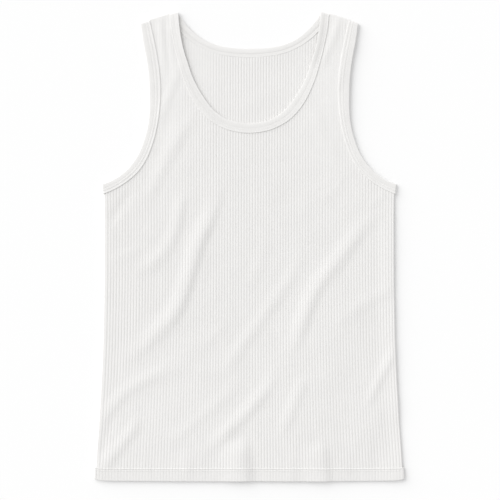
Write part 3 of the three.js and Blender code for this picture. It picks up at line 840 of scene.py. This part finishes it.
@dataclass
class Band:
    """A binding or hem: a ring of folded cloth with one stretch on the front and one on the back."""

    name: str
    node: str
    slot: str
    front_rows: Sequence[Sequence[float]]
    back_rows: Sequence[Sequence[float]]
    outside: Sequence[Sequence[float]]
    inside: Sequence[Sequence[float]]
    lay: Lay
    flat: tuple[float, float]
    side: int = 1
    spacing: float = 1.0
    fold_steps: int = 9
    fold_level: float = 2.25
    half_gap: float = 0.15
    strip_from: float = 0.55
    pucker: float = 0.12
    pucker_pitch: float = 3.1
    pucker_slant: float = 7.0
    rib_height: float = 0.0
    ribs_from: float = 0.03
    shoulder_still: float = 7.5
    shoulder_fade: float = 9.0
    # Painted shade: between these shares across, a band is painted darker the deeper it is sunk, fully so at
    # this depth in millimetres
    painted_shade_depth: float = 0.7
    painted_shade_from: float = 0.1
    painted_shade_to: float = 0.975
    free_side_to: float = 0.5
    seam_side_from: float = 0.55
    squareness: float = 0.55
    shoulder_reach: float = 0.6
    # Painted shade laid evenly over the whole band
    painted_shade: float = 0.0
    settle: float = 0.28
    back_rise: float = 0.0
    perks: Sequence[Perk] = ()
    # Painted shade in the band's rib grooves
    rib_groove_painted_shade: float = 0.0

    def stretch(self, rows: Sequence[Sequence[float]]) -> np.ndarray:
        """The stations of one stretch, on this band's side of the garment."""
        return stations(rows, self.spacing) * np.array([self.side, 1, self.side, 1])

    def ring(self) -> tuple[np.ndarray, np.ndarray, np.ndarray]:
        """The stations all round: the front, the fold over, the back, and the fold back.

        Returns:
            The stations, how far each has turned over in radians, and the direction in plan of its bulge.
        """
        front, back = self.stretch(self.front_rows), self.stretch(self.back_rows)[::-1]
        turns = np.linspace(0, math.pi, self.fold_steps + 1)[1:-1]
        still = np.zeros(2)
        over, under = self.fold_direction(front[-1], front[-2]), self.fold_direction(front[0], front[1])
        parts = (
            (front, np.zeros(len(front)), still),
            (np.repeat(front[-1:], len(turns), 0), turns, over),
            (back, np.full(len(back), math.pi), still),
            (np.repeat(front[:1], len(turns), 0), turns[::-1], under),
            (front[:1], np.zeros(1), still),
        )
        outward = np.concatenate([np.broadcast_to(way, (len(turn), 2)) for _, turn, way in parts])
        return np.concatenate([p[0] for p in parts]), np.concatenate([p[1] for p in parts]), outward

    @staticmethod
    def fold_direction(station: np.ndarray, neighbour: np.ndarray) -> np.ndarray:
        """The way in plan that a band bulges where it folds over, away from the rest of its stretch."""
        across = station[2:] - station[:2]
        normal = np.array([-across[1], across[0]]) / np.linalg.norm(across)
        return -normal if normal @ (station[:2] - neighbour[:2]) < 0 else normal

    def lift(self, place: np.ndarray, across: np.ndarray | float) -> np.ndarray:
        """How far the front stretch rises, with the panel below it and at its perks.

        Args:
            place: Places in plan, with x and y last.
            across: How far each is from the free edge, 0, to the seam, 1.

        Returns:
            Heights.
        """
        height = self.lay.height(place[..., 0], place[..., 1])
        for perk in self.perks:
            away = np.hypot(place[..., 0] - perk.place[0], place[..., 1] - perk.place[1])
            height = height + perk.height * (1 - across) * np.exp(-((away / perk.reach) ** 2))
        return height

    def looseness(self, place: np.ndarray) -> np.ndarray:
        """0 where the band folds over, rising to 1 away from there."""
        front = self.stretch(self.front_rows)
        nearest = np.full(place.shape[:-1], np.inf)
        for end in (front[0], front[-1]):
            middle = (end[:2] + end[2:]) / 2
            away = np.hypot(place[..., 0] - middle[0], place[..., 1] - middle[1])
            nearest = np.minimum(nearest, away)
        return np.clip((nearest - self.shoulder_still) / self.shoulder_fade, 0, 1)

    def build(self) -> bpy.types.Object:
        """Builds the ring as one closed mesh."""
        ring, turn, outward = self.ring()
        section = np.array([*self.outside, *self.inside, self.outside[0]])
        across, share = section[None, :, 0], (turn / math.pi)[:, None]
        radius = self.half_gap + (1 - share) * section[None, :, 1] + share * section[None, :, 2]
        place = ring[:, None, :2] + across[..., None] * (ring[:, None, 2:] - ring[:, None, :2])
        walked = lengths_along((ring[:, :2] + ring[:, 2:]) / 2)
        walked = walked + np.cumsum(np.concatenate([[0], np.abs(np.diff(turn))]))
        is_outside = (np.arange(len(section)) % (len(section) - 1) < len(self.outside))[None, :]
        on_strip = is_outside & (across > self.strip_from)
        phase = (walked[:, None] + self.pucker_slant * (across - 1)) / self.pucker_pitch
        radius = radius - on_strip * self.pucker * (0.5 + 0.5 * np.cos(math.tau * phase))
        ribs = rib_relief(unspread(place[..., 0], place[..., 1]))
        radius = radius - is_outside * (across > self.ribs_from) * self.rib_height * (1 - ribs)
        along = (ring[:, 2:] - ring[:, :2]) / np.linalg.norm(ring[:, 2:] - ring[:, :2], axis=1)[:, None]
        facing = (along @ np.array(LIGHT_SIDE))[:, None] * (1 - share)
        seam_side = np.clip((across - self.seam_side_from) / (1 - self.seam_side_from), 0, 1)
        free_side = np.clip(1 - across / self.free_side_to, 0, 1)
        settled = np.clip(facing, 0, 1) * seam_side + np.clip(-facing, 0, 1) * free_side
        radius = radius - is_outside * self.settle * settled
        outwards = np.sin(turn) ** self.squareness
        upwards = np.sign(np.cos(turn)) * np.abs(np.cos(turn)) ** self.squareness
        reach = outwards * (1 + self.shoulder_reach * np.clip(outward[:, 1], 0, 1))
        flat_place = place + (radius * reach[:, None])[..., None] * outward[:, None]
        lift = self.lift(place, across) * (0.5 + 0.5 * np.cos(turn[:, None]))
        is_back = (turn == math.pi)[:, None]
        lift = np.where(is_back, self.back_rise * self.looseness(place), lift)
        z = self.fold_level + radius * upwards[:, None] + lift
        width = np.linalg.norm(ring[:, 2:] - ring[:, :2], axis=1)[:, None]
        knit = np.stack([np.broadcast_to(walked[:, None], z.shape), across * width], -1)
        # Painted shade: sunk grooves and strips darker the deeper they lie, the whole band a little darker,
        # and its rib grooves darker still
        sunk = np.where(is_outside, section[:, 1].max() - section[None, :, 1], section[None, :, 2])
        painted_shade_span = (across > self.painted_shade_from) & (across < self.painted_shade_to)
        relief = 1 - painted_shade_span * np.clip(sunk / self.painted_shade_depth, 0, 1)
        relief = relief - self.painted_shade - self.rib_groove_painted_shade * (1 - ribs)
        return cloth_object(self.name, np.dstack([flat_place, z]), knit, relief, closed=True)

    def dress(self, piece: bpy.types.Object, finish: bpy.types.Material, on: str) -> None:
        """Gives the band its finish, hangs it on the body and hides its part of the model.

        Args:
            piece: The band's object.
            finish: Its material.
            on: The piece that it rests on; not used.
        """
        piece.data.materials.append(finish)
        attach(piece, BODY)
        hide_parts(self.node)
        log.info("%s: %d points", piece.name, len(piece.data.vertices))


@dataclass(frozen=True)
class StitchLine:
    """One line of stitches along a band.

    under is whether it runs on the back stretch, and inner whether it is on that stretch's inner side.
    slant is how far each stitch is turned from the line, in degrees.
    """

    across: float
    under: bool = False
    inner: bool = False
    pitch: float = 2.6
    length: float = 2.1
    slant: float = 0.0


@dataclass
class Stitches:
    """The stitches of one band, each a small thread on its surface."""

    name: str
    band: Band
    lines: Sequence[StitchLine]
    slot: str
    width: float = 0.42
    depth: float = 0.34
    sunk: float = 0.06
    margin: float = 3.0
    heading_step: float = 0.5
    run_length: int = 30

    def heights(self, line: StitchLine) -> float:
        """The band's height at a line, above the inner side of the fold."""
        rows = self.band.inside[::-1] if line.inner else self.band.outside
        table = np.array(rows, float)
        return float(np.interp(line.across, table[:, 0], table[:, 2 if line.under else 1]))

    def spots(self, line: StitchLine) -> Iterable[Matrix]:
        """The place, turn and size of every stitch on a line."""
        band = self.band
        rows = band.back_rows if line.under else band.front_rows
        along = band.stretch(rows)
        path = along[:, :2] + line.across * (along[:, 2:] - along[:, :2])
        walked = lengths_along(path)
        count = int((walked[-1] - 2 * self.margin) / line.pitch)
        at = self.margin + line.pitch * (np.arange(count) + 0.5)
        spot = np.stack([np.interp(at, walked, path[:, k]) for k in (0, 1)], 1)
        ahead = np.stack([np.interp(at + self.heading_step, walked, path[:, k]) for k in (0, 1)], 1)
        radius = band.half_gap + self.heights(line) - self.sunk
        if line.under:
            z = np.full(count, band.fold_level - radius)
        else:
            z = band.fold_level + radius + band.lift(spot, line.across)
        for k in range(count):
            turn = math.atan2(*(ahead[k] - spot[k])[::-1]) + math.radians(line.slant)
            yield (
                Matrix.Translation(Vector((*spot[k], z[k])) * MM)
                @ Matrix.Rotation(turn, 4, "Z")
                @ Matrix.Diagonal((line.length * MM, self.width * MM, self.depth * MM, 1.0))
            )

    def build(self) -> bpy.types.Object:
        """Builds all the stitches as one mesh."""
        sewing = bmesh.new()
        run = bpy.data.meshes.new("run of stitches")
        spots = [spot for line in self.lines for spot in self.spots(line)]
        for first in range(0, len(spots), self.run_length):
            part = bmesh.new()
            for spot in spots[first:first + self.run_length]:
                bmesh.ops.create_uvsphere(part, u_segments=6, v_segments=4, radius=0.5, matrix=spot)
            part.to_mesh(run)
            part.free()
            sewing.from_mesh(run)
        bpy.data.meshes.remove(run)
        for face in sewing.faces:
            face.smooth = True
        return linked(self.name, sewing)

    def dress(self, piece: bpy.types.Object, finish: bpy.types.Material) -> None:
        """Gives the stitches their finish and hangs them on the body."""
        piece.data.materials.append(finish)
        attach(piece, BODY)
        log.info("%s: %d points", piece.name, len(piece.data.vertices))


@dataclass
class Studio:
    """A white surface, soft light from the upper left, and a camera straight above."""

    floor_half: float = 4.0
    floor_drop: float = 0.0001
    floor_white: tuple[float, float, float] = (0.92, 0.92, 0.92)
    key_turn: float = 142.0
    key_rise: float = 27.0
    key_spread: float = 56.0
    key_share: float = 0.34
    light_level: float = 1.08
    lens: float = 85.0
    sensor: float = 36.0
    frame_width: float = 0.75
    aim: tuple[float, float] = (0.0010, -0.0045)
    garment_top: float = 0.004

    def floor(self) -> None:
        """Lays the surface just under the garment."""
        ground = bmesh.new()
        bmesh.ops.create_grid(ground, x_segments=1, y_segments=1, size=self.floor_half)
        bmesh.ops.translate(ground, verts=ground.verts, vec=(0.0, 0.0, -self.floor_drop))
        piece = linked("floor", ground)
        finish = bpy.data.materials.new("white surface")
        finish.use_nodes = True
        shader = finish.node_tree.nodes["Principled BSDF"]
        shader.inputs["Base Color"].default_value = (*self.floor_white, 1.0)
        shader.inputs["Roughness"].default_value = 1.0
        shader.inputs["Specular IOR Level"].default_value = 0.0
        piece.data.materials.append(finish)

    def light(self) -> None:
        """Sets one broad soft lamp, far off, and an even white sky."""
        turn, rise = math.radians(self.key_turn), math.radians(self.key_rise)
        away = Vector((math.cos(turn) * math.cos(rise), math.sin(turn) * math.cos(rise), math.sin(rise)))
        lamp = bpy.data.lights.new("key", "SUN")
        lamp.angle = math.radians(self.key_spread)
        lamp.energy = math.pi * self.light_level * self.key_share / math.sin(rise)
        key = bpy.data.objects.new("key", lamp)
        key.rotation_euler = away.to_track_quat("Z", "Y").to_euler()
        bpy.context.scene.collection.objects.link(key)
        world = bpy.data.worlds.new("sky")
        world.use_nodes = True
        background = world.node_tree.nodes["Background"]
        background.inputs["Color"].default_value = (1.0, 1.0, 1.0, 1.0)
        background.inputs["Strength"].default_value = self.light_level * (1 - self.key_share)
        bpy.context.scene.world = world

    def camera(self) -> None:
        """Stands the camera straight above, a little off the garment's middle, as in the photograph."""
        eye = bpy.data.cameras.new("camera")
        eye.lens = self.lens
        eye.sensor_width = self.sensor
        eye.clip_end = 50.0
        stand = bpy.data.objects.new("camera", eye)
        height = self.frame_width * self.lens / self.sensor
        stand.location = (*self.aim, self.garment_top + height)
        bpy.context.scene.collection.objects.link(stand)
        bpy.context.scene.camera = stand

    def build(self) -> None:
        """Sets up the whole studio."""
        self.floor()
        self.light()
        self.camera()
        bpy.context.scene.view_settings.view_transform = "Standard"


@dataclass
class TankTop:
    """The whole garment: two panels, their bands and the stitches on them."""

    front_lay: Lay = field(default_factory=lambda: Lay((*FOLDS, *SMALL_CREASES), 0.22, 11))
    back_lay: Lay = field(default_factory=lambda: Lay(BACK_HOLLOWS, 0.1, 23))
    # Each knit's first colour is its white and its second the painted shade of its grooves and of the gaps
    # between its yarns
    rib_finish: KnitFinish = KnitFinish(
        "rib knit", (0.84, 0.832, 0.821), (0.72, 0.711, 0.699), RIB_PITCH / 4 * MM, 0.0009, 0.0003
    )
    binding_finish: KnitFinish = KnitFinish(
        "binding knit", (0.835, 0.827, 0.815), (0.69, 0.681, 0.668), 0.0008, 0.0007, 0.00018
    )
    thread_finish: ThreadFinish = ThreadFinish("sewing thread", (0.88, 0.872, 0.86))

    def panels(self) -> list[Panel]:
        """The two panels, the one that is underneath first."""
        return [
            Panel("back_panel_cloth", Layer.BACK, NECK_BACK, self.back_lay, 0.15, 0.33,
                  BACK_SOFT_PATCHES, sheet_area=0.2486),
            Panel("front_panel_cloth", Layer.FRONT, NECK_FRONT, self.front_lay, 3.3, 0.34,
                  SOFT_PATCHES, sheet_area=0.2269),
        ]

    def bands(self) -> list[Band]:
        """The neck, the two armholes and the hem."""
        lay = self.front_lay
        # The neck and the hem get an even painted shade, and the hem also painted shade in its rib grooves
        neck = Band("neck_binding_cloth", "neck_binding", "binding", mirrored(NECK_FRONT),
                    mirrored(NECK_BACK), NECK_OUTSIDE, NECK_INSIDE, lay, (0.0138, 0.718),
                    perks=NECK_PERKS, painted_shade=0.04, back_rise=0.4)
        right, left = (
            Band(f"armhole_binding_{word}_cloth", f"armhole_binding_{word}", "binding", ARMHOLE, ARMHOLE,
                 ARMHOLE_OUTSIDE, BAND_INSIDE, lay, (0.0151, 0.561), side=side, perks=ARMHOLE_PERKS)
            for word, side in (("right", 1), ("left", -1))
        )
        hem = Band("hem_band_cloth", "hem_band", "rib_knit", mirrored(HEM), mirrored(HEM), HEM_OUTSIDE,
                   HEM_INSIDE, lay, (0.0191, 0.922), spacing=RIB_PITCH / 5, rib_height=0.34, pucker=0.05,
                   painted_shade=0.15, rib_groove_painted_shade=0.3)
        return [neck, right, left, hem]

    @staticmethod
    def sewing(band: Band) -> Stitches:
        """The stitches of a band."""
        cover = {"pitch": 3.1, "length": 2.9, "slant": 40}
        if band.outside is HEM_OUTSIDE:
            rows = {"pitch": 3.0, "length": 2.4}
            lines = [StitchLine(across, under, **rows) for under in (False, True)
                     for across in (0.8, 0.955)]
        elif band.outside is NECK_OUTSIDE:
            lines = [StitchLine(across, under) for under in (False, True) for across in (0.51, 0.93)]
            lines += [StitchLine(0.72, under, **cover) for under in (False, True)]
            lines += [StitchLine(0.6, True, True), StitchLine(0.8, True, True, **cover)]
        else:
            lines = [StitchLine(across, under) for under in (False, True) for across in (0.475, 0.75)]
            lines += [StitchLine(0.61, under, **cover) for under in (False, True)]
        return Stitches(band.name.replace("_cloth", "_stitches"), band, lines, band.slot)

    def build(self) -> None:
        """Builds and dresses every piece."""
        loops, cotton = knit_loops_group(), cotton_group()
        rib = self.rib_finish.material(loops, cotton)
        plain = self.binding_finish.material(loops, cotton)
        thread = self.thread_finish.material(cotton)
        for panel in self.panels():
            panel.dress(panel.build(), rib)
        for band in self.bands():
            finish = rib if band.slot == "rib_knit" else plain
            band.dress(band.build(), finish, "front_panel_cloth")
            sewing = self.sewing(band)
            sewing.dress(sewing.build(), thread)


def main() -> None:
    """Builds the garment and its studio, and logs how many points each piece has."""
    logging.basicConfig(level=logging.INFO)
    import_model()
    Studio().build()
    TankTop().build()


if __name__ == "__main__":
    main()
